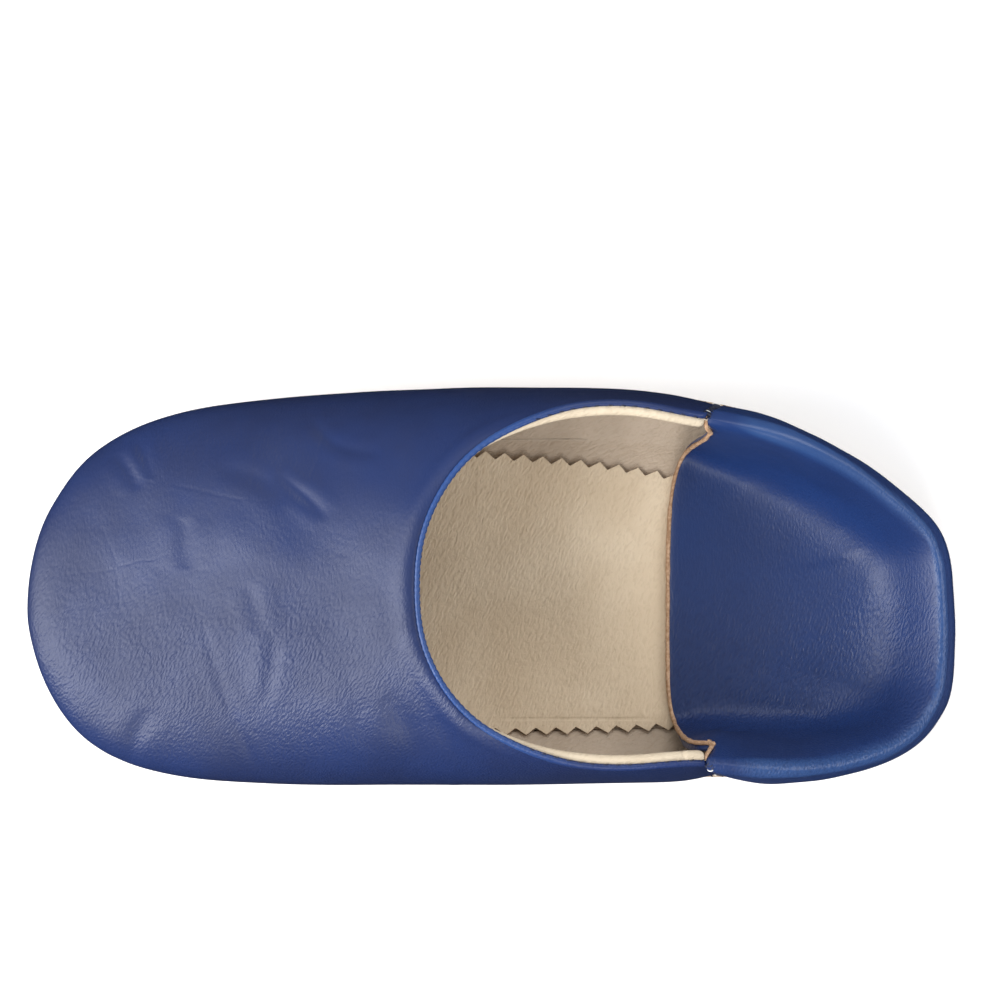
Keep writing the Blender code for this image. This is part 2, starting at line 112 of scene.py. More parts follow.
class Finish:
    """One material: its Principled shader, and the nodes that feed it."""

    def __init__(self, name, **sockets):
        self.material = bpy.data.materials.new(name)
        self.material.use_nodes = True
        self.tree = self.material.node_tree
        self.shader = self.tree.nodes["Principled BSDF"]
        for label, value in sockets.items():
            self.shader.inputs[label.replace("_", " ")].default_value = value

    def node(self, kind, settings=(), sockets=(), out=0):
        """Adds a node, sets its settings and then its sockets, and gives one of its outputs."""
        made = self.tree.nodes.new(kind)
        for label, value in dict(settings).items():
            setattr(made, label, value)
        for label, value in dict(sockets).items():
            if isinstance(value, Value):
                self.tree.links.new(value.socket, made.inputs[label])
            else:
                made.inputs[label].default_value = value
        return Value(self, made.outputs[out])

    def place(self, scale=(1, 1, 1), turn=0.0):
        """Object coordinates, turned about Z by degrees and stretched."""
        here = self.node("ShaderNodeTexCoord", out="Object")
        turned = {"Vector": here, "Rotation": (0, 0, math.radians(turn))}
        placed = self.node("ShaderNodeMapping", {"vector_type": "POINT"}, turned)
        return self.node("ShaderNodeVectorMath", {"operation": "MULTIPLY"}, {0: placed, 1: scale})

    def noise(self, scale, vector=None, detail=3.0, roughness=0.55, distortion=0.0):
        settings = {"Vector": vector or self.place(), "Scale": scale, "Detail": detail}
        settings |= {"Roughness": roughness, "Distortion": distortion}
        return self.node("ShaderNodeTexNoise", {}, settings, "Fac")

    def cells(self, scale, vector=None):
        """Distance to the edges of small cells: the pebbles of a leather's grain."""
        sockets = {"Vector": vector or self.place(), "Scale": scale}
        return self.node("ShaderNodeTexVoronoi", {"feature": "DISTANCE_TO_EDGE"}, sockets, "Distance")

    def attribute(self, name):
        return self.node("ShaderNodeAttribute", {"attribute_name": name}, {}, "Fac")

    def between(self, value, low, high, start=0.0, end=1.0):
        """The value's run from low to high, eased and mapped to start and end."""
        sockets = {"Value": value, "From Min": low, "From Max": high, "To Min": start, "To Max": end}
        return self.node("ShaderNodeMapRange", {"interpolation_type": "SMOOTHSTEP"}, sockets)

    def mixed(self, factor, first, second, blend="MIX"):
        """A colour mixed by a factor; colours are linear triples or other colours."""
        first = first if isinstance(first, Value) else (*first, 1)
        second = second if isinstance(second, Value) else (*second, 1)
        settings = {"data_type": "RGBA", "blend_type": blend, "clamp_factor": True}
        return self.node("ShaderNodeMix", settings, {0: factor, 6: first, 7: second}, 2)

    def feed(self, label, value):
        self.tree.links.new(value.socket, self.shader.inputs[label])

    def raise_relief(self, height, distance, strength, below=None):
        """Bumps of this height over this distance, laid over the relief below if there is one."""
        sockets = {"Height": height, "Distance": distance, "Strength": strength}
        if below:
            sockets["Normal"] = below
        return self.node("ShaderNodeBump", {}, sockets)


def only(piece):
    """Selects one piece alone and makes it active."""
    bpy.ops.object.select_all(action="DESELECT")
    piece.select_set(True)
    bpy.context.view_layer.objects.active = piece
    return piece


def lifted(node, name):
    """A merged copy of a CAD node, with its triangles paired back into the quads of its ribs."""
    piece = bpy.data.objects.new(name, frame["nodes"][node].data.copy())
    bpy.context.scene.collection.objects.link(piece)
    only(piece).data.materials.clear()
    bpy.ops.mesh.customdata_custom_splitnormals_clear()
    bpy.ops.object.mode_set(mode="EDIT")
    bpy.ops.mesh.select_all(action="SELECT")
    bpy.ops.mesh.remove_doubles(threshold=MERGE_GAP)
    bpy.ops.mesh.tris_convert_to_quads(face_threshold=math.pi, shape_threshold=math.pi)
    bpy.ops.mesh.normals_make_consistent(inside=False)
    bpy.ops.object.mode_set(mode="OBJECT")
    return piece


def modified(piece, kind, **settings):
    """Adds a modifier to a piece and applies it."""
    modifier = only(piece).modifiers.new(kind.lower(), kind)
    for label, value in settings.items():
        setattr(modifier, label, value)
    bpy.ops.object.modifier_apply(modifier=modifier.name)
    return piece


def rounded(piece, levels):
    """Subdivides a piece smoothly, its cage let out first by what the smoothing would draw in."""
    settings = {"levels": levels, "render_levels": levels, "boundary_smooth": "PRESERVE_CORNERS"}
    cage = read(piece)
    trial = bpy.data.objects.new("trial", piece.data.copy())
    bpy.context.scene.collection.objects.link(trial)
    drawn_in = read(modified(trial, "SUBSURF", **settings))[: len(cage)]
    bpy.data.objects.remove(trial)
    write(piece, cage + (cage - drawn_in) * LET_OUT)
    return modified(piece, "SUBSURF", **settings)


def read(piece, what="co"):
    """A mesh's points or their normals as rows."""
    flat = np.empty(len(piece.data.vertices) * 3)
    piece.data.vertices.foreach_get(what, flat)
    return flat.reshape(-1, 3)


def write(piece, points):
    piece.data.vertices.foreach_set("co", points.ravel())
    piece.data.update()


def unpick(piece):
    """Unselects every point, edge and face of a mesh."""
    for each in (piece.data.vertices, piece.data.edges, piece.data.polygons):
        each.foreach_set("select", np.zeros(len(each), bool))


def skin_of(piece, start):
    """Deletes all but the smooth run of faces round the one nearest to a point."""
    unpick(piece)
    middles = np.array([f.center for f in piece.data.polygons])
    nearest = np.linalg.norm(middles - np.array(start), axis=1).argmin()
    piece.data.polygons[int(nearest)].select = True
    only(piece)
    bpy.ops.object.mode_set(mode="EDIT")
    bpy.ops.mesh.select_mode(type="FACE")
    bpy.ops.mesh.faces_select_linked_flat(sharpness=math.radians(SKIN_EDGE))
    bpy.ops.mesh.select_all(action="INVERT")
    bpy.ops.mesh.delete(type="FACE")
    bpy.ops.mesh.select_mode(type="VERT")
    bpy.ops.object.mode_set(mode="OBJECT")
    return piece


def border_loop(piece):
    """The longest open border of a piece, read off at even steps all round."""
    uses = {}
    for face in piece.data.polygons:
        for key in face.edge_keys:
            uses[key] = uses.get(key, 0) + 1
    links = {}
    for (a, b), count in uses.items():
        if count == 1:
            links.setdefault(a, []).append(b)
            links.setdefault(b, []).append(a)
    loops = []
    while links:
        chain = [min(links)]
        ahead = links.pop(chain[0])
        while ahead:
            chain.append(ahead[0])
            ahead = [v for v in links.pop(chain[-1]) if v in links]
        loops.append(chain)
    return evenly(read(piece)[max(loops, key=len)], SEAM_STEP, closed=True)


def stretch(loop, start, middle, end):
    """The part of a loop that runs from near one place through another to a third."""
    a, m, b = [int(np.linalg.norm(loop - np.array(p), axis=1).argmin()) for p in (start, middle, end)]
    count = len(loop) - 1
    if (m - a) % count < (b - a) % count:
        return loop[(a + np.arange((b - a) % count + 1)) % count]
    return loop[(a - np.arange((a - b) % count + 1)) % count]


def evenly(points, step, closed=False):
    """A smooth line through points, read off at even steps of about this length."""
    if closed:
        points = np.concatenate([points[-3:], points, points[:4]])
    spans = np.linspace(0, 1, SPLINE_STEPS, endpoint=False)[:, None]
    before = np.concatenate([[2 * points[0] - points[1]], points])
    after = np.concatenate([points[1:], [2 * points[-1] - points[-2]]])
    rows = []
    for i in range(len(points) - 1):
        p0, p1, p2, p3 = before[i], points[i], points[i + 1], after[i + 1]
        curve = 2 * p1 + spans * (p2 - p0) + spans**2 * (2 * p0 - 5 * p1 + 4 * p2 - p3)
        rows.append((curve + spans**3 * (3 * p1 - p0 - 3 * p2 + p3)) / 2)
    fine = np.concatenate(rows + [points[-1:]])
    if closed:
        fine = fine[3 * SPLINE_STEPS : -3 * SPLINE_STEPS]
    along = np.concatenate([[0], np.cumsum(np.linalg.norm(np.diff(fine, axis=0), axis=1))])
    count = max(2, round(along[-1] / step))
    stops = np.linspace(0, along[-1], count + 1)
    return np.stack([np.interp(stops, along, axis) for axis in fine.T], axis=1)


def tree_of(points):
    """A search tree of points, which gives back each one's place in their row."""
    tree = kdtree.KDTree(len(points))
    for count, spot in enumerate(points):
        tree.insert(spot, count)
    tree.balance()
    return tree


def nearest_on(line, points):
    """For each point, its distance to a line of points and which of them is nearest."""
    tree = tree_of(line)
    found = [tree.find(p)[1:] for p in points]
    return np.array([f[1] for f in found]), np.array([f[0] for f in found])


def store(piece, name, values):
    """Keeps a value at each point of a piece, for its finish to read."""
    layer = piece.data.attributes.new(name, "FLOAT", "POINT")
    layer.data.foreach_set("value", values.astype(np.float32))


def wander(points, size, seed):
    """Smooth noise between about -1 and 1, with bumps of this size in metres."""
    shift = Vector((seed * 1.37, seed * 2.11, seed * 0.73))
    return np.array([noise.noise(Vector(p) / size + shift) for p in points])


# Metres, but for SKIN_EDGE in degrees, LET_OUT as a share and SPLINE_STEPS between two points
STITCH_PITCH = 0.0029
SEAM_STEP = 0.0005
MERGE_GAP = 0.00002
SKIN_EDGE = 50
LET_OUT = 0.75
SPLINE_STEPS = 12
SOLE_UNEVENNESS = 0.0005
CORE_HEIGHT = 0.03

sole = lifted("sole", "sole_leather")
sole_outside = skin_of(lifted("sole", "sole_outside"), (-0.03, 0.0, -0.02))
seam_line = border_loop(sole_outside)
bpy.data.objects.remove(sole_outside)
seam_stitches = round(len(seam_line) * SEAM_STEP / STITCH_PITCH)


def mark_seam(piece):
    """Stores how far along the whipped seam each point lies, in stitches, and how far from it."""
    gap, at = nearest_on(seam_line, read(piece))
    run = at / (len(seam_line) - 1)
    store(piece, "stitch_cos", np.cos(2 * math.pi * run * seam_stitches))
    store(piece, "seam_gap", gap)


rounded(sole, 3)
sole_points = read(sole)
sole_normals = read(sole, "normal")
core = np.zeros_like(sole_points)
core[:, 0] = np.clip(sole_points[:, 0], -0.09, 0.10)
core[:, 2] = CORE_HEIGHT
outward = (sole_normals * (sole_points - core)).sum(1) > 0
swell = wander(sole_points, 0.028, 1) * SOLE_UNEVENNESS
swell *= np.clip(sole_points[:, 2] / 0.006, 0, 1) * outward
sole_points += sole_normals * swell[:, None]
sole_points[:, 2] = np.maximum(sole_points[:, 2], 0)
write(sole, sole_points)
mark_seam(sole)

natural = Finish("natural_sole_leather", Roughness=0.62)
natural.shader.inputs["Specular IOR Level"].default_value = 0.35
mottle = natural.noise(28, detail=5, roughness=0.6)
blush = natural.noise(60, detail=3)
height = natural.node("ShaderNodeSeparateXYZ", {}, {0: natural.place()}, 2)
tan = natural.mixed(natural.between(mottle, 0.35, 0.68), (0.44, 0.345, 0.247), (0.375, 0.28, 0.19))
tan = natural.mixed(natural.between(blush, 0.5, 0.75) * 0.5, tan, (0.42, 0.29, 0.20))
tan = natural.mixed(natural.between(height, 0.013, 0.002) * 0.45, tan, (0.30, 0.25, 0.195))
near_seam = natural.attribute("seam_gap")
waxed = natural.between(near_seam, 0.006, 0.001) * natural.between(mottle, 0.3, 0.6)
natural.feed("Base Color", natural.mixed(waxed * 0.55, tan, (0.30, 0.185, 0.105)))
natural.feed("Roughness", natural.between(mottle, 0.3, 0.7, 0.55, 0.72))
pores = natural.cells(1100) * 0.5 + natural.noise(700, detail=2) * 0.7 + mottle * 0.8
puckers = natural.attribute("stitch_cos") * natural.between(near_seam, 0.005, 0.0005)
relief = natural.raise_relief(pores, 0.00018, 0.5)
natural.feed("Normal", natural.raise_relief(puckers, 0.0004, 0.6, relief))
sole.data.materials.append(natural.material)
sole.data.shade_smooth()
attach(sole, "root")
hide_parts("sole")


# The vamp is one soft goat leather, dyed blue, from the toe to the side seams. It was lasted wet and
# then creased in wear and in the box; its throat edge is turned over and hemmed.

VAMP_LEATHER = 0.0011
EDGE_ROLL = 0.0021
EDGE_DIP = 0.0010
EDGE_RIDGE = 0.0006
LATERAL_FULLNESS = 0.0011
MEDIAL_FULLNESS = 0.0011
INSIDE_DETAIL = 0.12
THROAT = ((0.0588, 0.0449, 0.0605), (-0.02, 0.0, 0.07), (0.0587, -0.0482, 0.0608))
SIDE_SEAMS = [
    ((0.0627, 0.0483, 0.0173), (0.0622, 0.0478, 0.0390), (0.0588, 0.0449, 0.0605)),
    ((0.0627, -0.0505, 0.0174), (0.0625, -0.0494, 0.0385), (0.0587, -0.0482, 0.0608)),
]
# Each crease's run in plan, in metres, with its width and depth
VAMP_CREASES = [
    ([(-0.0808, -0.0092), (-0.0755, -0.0268), (-0.0682, -0.0447), (-0.0630, -0.0525)], 0.0012, 0.00024),
    ([(-0.0605, -0.0120), (-0.0612, -0.0220), (-0.0630, -0.0330)], 0.0016, 0.00030),
    ([(-0.0600, 0.0318), (-0.0550, 0.0275), (-0.0500, 0.0235), (-0.0460, 0.0190)], 0.0018, 0.00036),
    ([(-0.0500, 0.0470), (-0.0462, 0.0415), (-0.0400, 0.0382), (-0.0307, 0.0369)], 0.0015, 0.00030),
    ([(-0.0950, -0.0341), (-0.0985, -0.0400), (-0.1012, -0.0490)], 0.0024, 0.00051),
    ([(-0.0161, -0.0358), (-0.0098, -0.0452), (-0.0042, -0.0512)], 0.0024, 0.00048),
    ([(-0.0679, 0.0010), (-0.0655, -0.0070), (-0.0645, -0.0130)], 0.0018, 0.00022),
    ([(-0.0851, 0.0190), (-0.0853, 0.0050)], 0.0022, 0.00030),
    ([(-0.1050, 0.0370), (-0.1009, 0.0320), (-0.0985, 0.0270)], 0.0018, 0.00036),
    ([(-0.0990, 0.0410), (-0.0962, 0.0345), (-0.0950, 0.0300)], 0.0016, 0.00030),
    ([(-0.0300, -0.0300), (-0.0230, -0.0400), (-0.0200, -0.0490)], 0.0034, 0.00042),
    ([(-0.0420, -0.0200), (-0.0370, -0.0330), (-0.0360, -0.0450)], 0.0026, 0.00026),
    ([(-0.0760, 0.0330), (-0.0650, 0.0300), (-0.0560, 0.0230)], 0.0024, 0.00030),
]


def crease(points, normals, creases):
    """Sinks each crease along its run, with a soft ridge on both sides, fading at its ends."""
    depth = np.zeros(len(points))
    for run, width, sink in creases:
        line = evenly(np.array([(x, y, 0.0) for x, y in run]), 0.0005)
        plan = points * (1, 1, 0)
        gap = np.full(len(points), 1.0)
        near = (np.abs(plan - line.mean(0)).max(axis=1) < 0.04) & (normals[:, 2] > 0.05)
        gap[near], at = nearest_on(line, plan[near])
        fade = np.zeros(len(points))
        fade[near] = np.sin(math.pi * np.clip(at / (len(line) - 1), 0.0, 1.0)) ** 0.5
        trough = np.exp(-((gap / width) ** 2))
        ridge = np.exp(-(((gap - 2.2 * width) / (1.3 * width)) ** 2))
        depth += sink * fade * (0.45 * ridge - trough)
    return depth


def calmed(line):
    """A line with its small kinks evened out and its two ends kept."""
    line = line.copy()
    for _ in range(40):
        line[1:-1] = (line[:-2] + 2 * line[1:-1] + line[2:]) / 4
    return line


def medial_fullness(points):
    """How far the upper stands out round the medial side seam, in metres, so that it hides the sole."""
    along = np.exp(-(((points[:, 0] - 0.066) / 0.022) ** 2))
    return MEDIAL_FULLNESS * along * np.exp(-(((points[:, 2] - 0.034) / 0.011) ** 2)) * (points[:, 1] < 0)


vamp = rounded(skin_of(lifted("upper_vamp", "vamp_leather"), (-0.06, 0.0, 0.09)), 3)
throat_line = calmed(stretch(border_loop(vamp), *THROAT))
vamp_points, vamp_normals = read(vamp), read(vamp, "normal")
edge_gap, _ = nearest_on(throat_line, vamp_points)
upward = np.clip(vamp_normals[:, 2] * 1.6, 0.15, 1)
lift = crease(vamp_points, vamp_normals, VAMP_CREASES)
unevenness = wander(vamp_points, 0.034, 2) * 0.0009 + wander(vamp_points, 0.012, 3) * 0.00017
lift += unevenness * upward
lift *= np.clip(edge_gap / 0.004, 0, 1)
in_front = np.clip((0.010 - vamp_points[:, 0]) / 0.02, 0, 1)
lift -= EDGE_DIP * np.clip(1 - edge_gap / EDGE_ROLL, 0, 1) ** 2 * in_front
lift += EDGE_RIDGE * np.exp(-(((edge_gap - 0.0040) / 0.0022) ** 2)) * in_front
on_lateral = np.clip((vamp_points[:, 0] + 0.030) / 0.02, 0, 1)
on_lateral *= np.clip(vamp_points[:, 1] / 0.015, 0, 1)
lift += LATERAL_FULLNESS * np.exp(-((edge_gap / 0.013) ** 2)) * on_lateral
lift += medial_fullness(vamp_points)
write(vamp, vamp_points + vamp_normals * lift[:, None])
lift_of_vamp = lift
vamp_tree = tree_of(vamp_points)
vamp_loop = border_loop(vamp)
throat_line = calmed(stretch(vamp_loop, *THROAT))
side_seams = [stretch(vamp_loop, *places) for places in SIDE_SEAMS]
modified(vamp, "SOLIDIFY", thickness=VAMP_LEATHER, offset=-1, use_even_offset=False)
inside = np.arange(len(vamp.data.vertices)) >= len(vamp_points)
inner_faces = [bool(inside[list(face.vertices)].all()) for face in vamp.data.polygons]
unpick(vamp)
vamp.data.polygons.foreach_set("select", inner_faces)
only(vamp)
bpy.ops.object.mode_set(mode="EDIT")
bpy.ops.mesh.select_mode(type="FACE")
bpy.ops.mesh.select_less()
bpy.ops.mesh.decimate(ratio=INSIDE_DETAIL)
bpy.ops.mesh.select_mode(type="VERT")
bpy.ops.object.mode_set(mode="OBJECT")
mark_seam(vamp)


def blue_leather(name, grain_turn, light, dark, painted_front_highlight=0.0):
    """Dyed goat leather with a fine stretched grain and a low satin finish."""
    finish = Finish(name, Roughness=0.42)
    finish.shader.inputs["Specular IOR Level"].default_value = 0.40
    cloud = finish.noise(22, detail=5, roughness=0.6)
    patch = finish.noise(9, detail=2)
    dye = finish.mixed(finish.between(cloud, 0.32, 0.7), light, dark)
    dye = finish.mixed(finish.between(patch, 0.45, 0.7) * 0.35, dye, (0.016, 0.032, 0.105))
    ahead = finish.node("ShaderNodeSeparateXYZ", {}, {0: finish.place()}, 0)
    # Towards the front the dye is painted lighter by this share: a painted highlight, used on the hem's bead
    dye = finish.mixed(finish.between(ahead, 0.030, -0.005, 0, painted_front_highlight), dye, (0.022, 0.085, 0.270))
    # Where this is set, the dye is painted lighter and the roughness lowered: a painted highlight along the
    # quarter's fold
    painted_fold_highlight = finish.attribute("painted_fold_highlight")
    dye = finish.mixed(painted_fold_highlight * 0.6, dye, (0.030, 0.072, 0.190))
    bend = finish.noise(120, detail=1)
    sways = {0: bend * 0.0016, 1: bend * -0.0012, 2: bend * 0.0012}
    swirl = finish.node("ShaderNodeCombineXYZ", {}, sways)
    bent = finish.node("ShaderNodeVectorMath", {"operation": "ADD"}, {0: finish.place(), 1: swirl})
    ripples = []
    for turn in (grain_turn, grain_turn * 0.2):
        spun = {"Vector": bent, "Rotation": (0, 0, math.radians(turn))}
        turned = finish.node("ShaderNodeMapping", {}, spun)
        drawn = finish.node("ShaderNodeVectorMath", {"operation": "MULTIPLY"}, {0: turned, 1: (1, 0.38, 0.8)})
        ripples.append(finish.noise(1850, drawn, detail=0.8, roughness=0.4))
    worn = finish.between(finish.noise(18, detail=3), 0.38, 0.62)
    side = finish.node("ShaderNodeSeparateXYZ", {}, {0: finish.place()}, 1)
    swing = finish.between(side, -0.015, 0.020)
    ripple = ripples[0] * (1 - swing) + ripples[1] * swing
    strained = finish.between(side, 0.03, -0.03) * 0.55 + worn * 0.3 + 0.15
    wrinkle = finish.cells(48, bent)
    kept = finish.between(finish.noise(26, detail=2), 0.47, 0.6)
    kept = kept * finish.between(ahead, -0.035, -0.050)
    lines = finish.between(wrinkle, 0.035, 0.0) * kept
    fine = finish.noise(2400, detail=2)
    grain = ripple * strained * 1.6 + fine * 0.16 - lines * 0.16
    # The grain's hollows are painted darker: painted shade in the ripples
    hollow_shade = finish.between(ripple, 0.52, 0.34) * strained * 0.3
    finish.feed("Base Color", finish.mixed(hollow_shade, dye, (0.004, 0.012, 0.062)))
    finish.feed("Roughness", finish.between(cloud, 0.3, 0.7, 0.38, 0.50) - painted_fold_highlight * 0.12)
    near = finish.attribute("seam_gap")
    puckers = finish.attribute("stitch_cos") * finish.between(near, 0.0045, 0.0005)
    relief = finish.raise_relief(grain, 0.00027, 0.62)
    finish.feed("Normal", finish.raise_relief(puckers, 0.0004, 0.6, relief))
    return finish


blue = blue_leather("blue_vamp_leather", 34, (0.0092, 0.0205, 0.080), (0.0062, 0.0142, 0.060))
vamp.data.materials.append(blue.material)
vamp.data.shade_smooth()
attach(vamp, "root")
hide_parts("upper_vamp")


# The heel quarter is the same leather, seamed to the vamp at both sides and turned over its fold.
# It is pressed flat on the insole, so its skived free edge shows its tan inside.


def outward_bend(piece):
    """How sharply the leather bends outwards at each point, per metre, evened over its neighbours."""
    points, normals = read(piece), read(piece, "normal")
    ends = np.zeros(len(piece.data.edges) * 2, int)
    piece.data.edges.foreach_get("vertices", ends)
    first, second = ends.reshape(-1, 2).T
    gap = points[first] - points[second]
    apart = np.maximum((gap**2).sum(1), 1e-12)
    meet = lambda one, other: np.bincount(first, one, len(points)) + np.bincount(second, other, len(points))
    edges = meet(np.ones(len(first)), np.ones(len(first)))
    turns = [2 * (gap * normals[first]).sum(1) / apart, -2 * (gap * normals[second]).sum(1) / apart]
    bend = meet(*turns) / edges
    for _ in range(6):
        bend = (bend + meet(bend[second], bend[first]) / edges) / 2
    return bend


def softened(piece, weights, rounds):
    """Evens out the leather where the weights say so, by this many rounds of smoothing."""
    group = piece.vertex_groups.new(name="soft")
    for count, weight in enumerate(weights):
        if weight > 0.01:
            group.add([count], float(weight), "REPLACE")
    return modified(piece, "SMOOTH", factor=0.5, iterations=rounds, vertex_group="soft")


quarter_face = rounded(skin_of(lifted("upper_heel_quarter", "quarter_face"), (0.09, 0, 0.03)), 1)
SOFTENING_ROUNDS = 220
FREE_EDGE = ((0.0591, 0.0478, 0.0594), (0.0498, 0.0033, 0.0050), (0.0589, -0.0484, 0.0608))
free_edge = stretch(border_loop(quarter_face), *FREE_EDGE)
bpy.data.objects.remove(quarter_face)
quarter = lifted("upper_heel_quarter", "heel_quarter_leather")
rounded(quarter, 2)
quarter_points, quarter_normals = read(quarter), read(quarter, "normal")
soft = np.clip((quarter_normals[:, 2] - 0.05) / 0.3, 0, 1) * (quarter_points[:, 0] > 0.054)
edge_gap, _ = nearest_on(free_edge, quarter_points)
soft *= np.clip((edge_gap - 0.003) / 0.006, 0, 1)
heights = quarter_points[:, 2]
floor_like = np.clip((0.040 - heights) / 0.010, 0, 1)
off_fold = 1 - np.clip(outward_bend(quarter) / 30, 0, 1) * np.clip((heights - 0.011) / 0.003, 0, 1)
softened(quarter, soft * floor_like * off_fold, SOFTENING_ROUNDS)
quarter_points, quarter_normals = read(quarter), read(quarter, "normal")
lift = wander(quarter_points, 0.030, 5) * 0.0005 + wander(quarter_points, 0.010, 6) * 0.00015
seam_side = np.clip((quarter_points[:, 0] - 0.0660) / 0.006, 0, 1)
lift *= seam_side * (quarter_normals[:, 2] > -0.3)
lift += medial_fullness(quarter_points) * np.clip(-quarter_normals[:, 1] * 3, 0, 1)
write(quarter, quarter_points + quarter_normals * lift[:, None])
mark_seam(quarter)
# The sharpest outward bends of the fold, away from the seams, get a painted highlight that the finish reads
bend = outward_bend(quarter)
off_seam = np.clip((nearest_on(seam_line, read(quarter))[0] - 0.006) / 0.004, 0, 1)
store(quarter, "painted_fold_highlight", np.clip((bend - 45) / 90, 0, 1) * off_seam * seam_side)
quarter_blue = blue_leather("blue_quarter_leather", 20, (0.0100, 0.0310, 0.124), (0.0068, 0.0232, 0.100))
quarter.data.materials.append(quarter_blue.material)
quarter.data.shade_smooth()
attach(quarter, "root")
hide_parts("upper_heel_quarter")


# The insole is a thin natural leather, cut to shape with pinking shears. It lies in the curled sole
# and is stuck down along its middle, so its toothed edge stays loose.

# How much further out its lateral edge lies than the node's, at these places along the foot
SLANT_PLACES = (-0.030, -0.005, 0.020, 0.040, 0.052)
SLANT_WIDTHS = (0.0040, 0.0040, 0.0018, 0.0, -0.0008)

insole = lifted("insole", "insole_leather")
modified(insole, "SUBSURF", levels=2, render_levels=2, subdivision_type="SIMPLE")
insole_points = read(insole)
slant = np.interp(insole_points[:, 0], SLANT_PLACES, SLANT_WIDTHS)
outer_part = np.clip((insole_points[:, 1] - 0.012) / 0.018, 0, 1) ** 2
insole_points[:, 1] += slant * outer_part
insole_points[:, 2] += 0.22 * np.maximum(slant, 0) * outer_part**2
insole_points[:, 2] += wander(insole_points * (1, 1, 0), 0.020, 8) * 0.00015
write(insole, insole_points)
# The pinked edge's cut faces are marked to be painted dark brown: partly the raw edge's own colour, partly
# painted shade under the loose teeth
insole_cut_and_shade = insole.data.attributes.new("cut_edge_and_shade", "FLOAT", "FACE")
insole_cut_and_shade.data.foreach_set("value", [float(abs(face.normal.z) < 0.5) for face in insole.data.polygons])


def pale_leather(name, light, dark, grain_turn, scored=None):
    """Undyed leather: fine close wrinkles across the foot, and a warm uneven tone."""
    finish = Finish(name, Roughness=0.6)
    finish.shader.inputs["Specular IOR Level"].default_value = 0.4
    cloud = finish.noise(30, detail=5, roughness=0.6)
    tone = finish.mixed(finish.between(cloud, 0.35, 0.66), light, dark)
    # Cut faces are painted dark brown: the raw edge's colour together with painted shade under the teeth
    tone = finish.mixed(finish.attribute("cut_edge_and_shade"), tone, (0.26, 0.145, 0.07))
    stretched = finish.place((1, 0.40, 0.6), grain_turn)
    ripple = finish.noise(1450, stretched, detail=1.0, roughness=0.4, distortion=0.4)
    # The ripples' hollows are painted darker: painted shade in the wrinkles
    hollow_shade = finish.between(ripple, 0.5, 0.3) * 0.12
    finish.feed("Base Color", finish.mixed(hollow_shade, tone, (0.30, 0.21, 0.12)))
    finish.feed("Roughness", finish.between(cloud, 0.3, 0.7, 0.52, 0.68))
    pores = ripple * 1.4 + finish.noise(1900, detail=2) * 0.2
    if scored:
        ahead, side = [finish.node("ShaderNodeSeparateXYZ", {}, {0: finish.place()}, out) for out in (0, 1)]
        along_score = finish.between(ahead, 0.001, 0.008) * finish.between(ahead, 0.048, 0.038)
        pores = pores - finish.between(abs(side - scored), 0.0007, 0.0001) * along_score * 0.9
    finish.feed("Normal", finish.raise_relief(pores, 0.00034, 0.65))
    return finish


insole_finish = pale_leather("insole_leather", (0.66, 0.545, 0.395), (0.58, 0.465, 0.325), 24, -0.0377)
insole.data.materials.append(insole_finish.material)
insole.data.shade_smooth()
insole.data.set_sharp_from_angle(angle=math.radians(40))
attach(insole, "root")
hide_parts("insole")


# The lining is thin natural sheepskin, cut like the vamp and glued inside it, from the throat's
# edge down to the insole.

LINING_LEATHER = 0.0005

lining = rounded(skin_of(lifted("upper_vamp", "vamp_lining"), (-0.06, 0.0, 0.03)), 2)
lining_points = read(lining)
follow = np.array([vamp_tree.find(spot)[1] for spot in lining_points])
write(lining, lining_points + vamp_normals[follow] * lift_of_vamp[follow, None])
modified(lining, "SOLIDIFY", thickness=LINING_LEATHER, offset=-1)
lining_finish = pale_leather("lining_leather", (0.50, 0.405, 0.31), (0.43, 0.345, 0.26), 60)
lining.data.materials.append(lining_finish.material)
lining.data.shade_smooth()
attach(lining, "root")


# The sides under the lining's lower edge are the sole's own inside, with a thin facing of the same
# natural leather as the lining glued on.

FACING_LEATHER = 0.0001
FACING_RISE = 0.00013

side_facing = rounded(skin_of(lifted("sole", "side_facing"), (0.02, 0.0, 0.02)), 2)
side_facing_points, side_facing_normals = read(side_facing), read(side_facing, "normal")
write(side_facing, side_facing_points + side_facing_normals * FACING_RISE)
modified(side_facing, "SOLIDIFY", thickness=FACING_LEATHER, offset=-1)
side_facing.data.materials.append(lining_finish.material)
side_facing.data.shade_smooth()
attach(side_facing, "root")


# The throat is hemmed: the vamp's own blue edge is turned over and whipped down, so it stands as a
# bead from one side seam to the other.

HEM_PITCH = 0.0021
HEM_HALF_HEIGHT = 0.00095
OPENING_MIDDLE = (0.03, 0, 0.055)

def unit(rows):
    """Each row of an array as a direction of length one."""
    return rows / np.maximum(np.linalg.norm(rows, axis=1), 1e-9)[:, None]


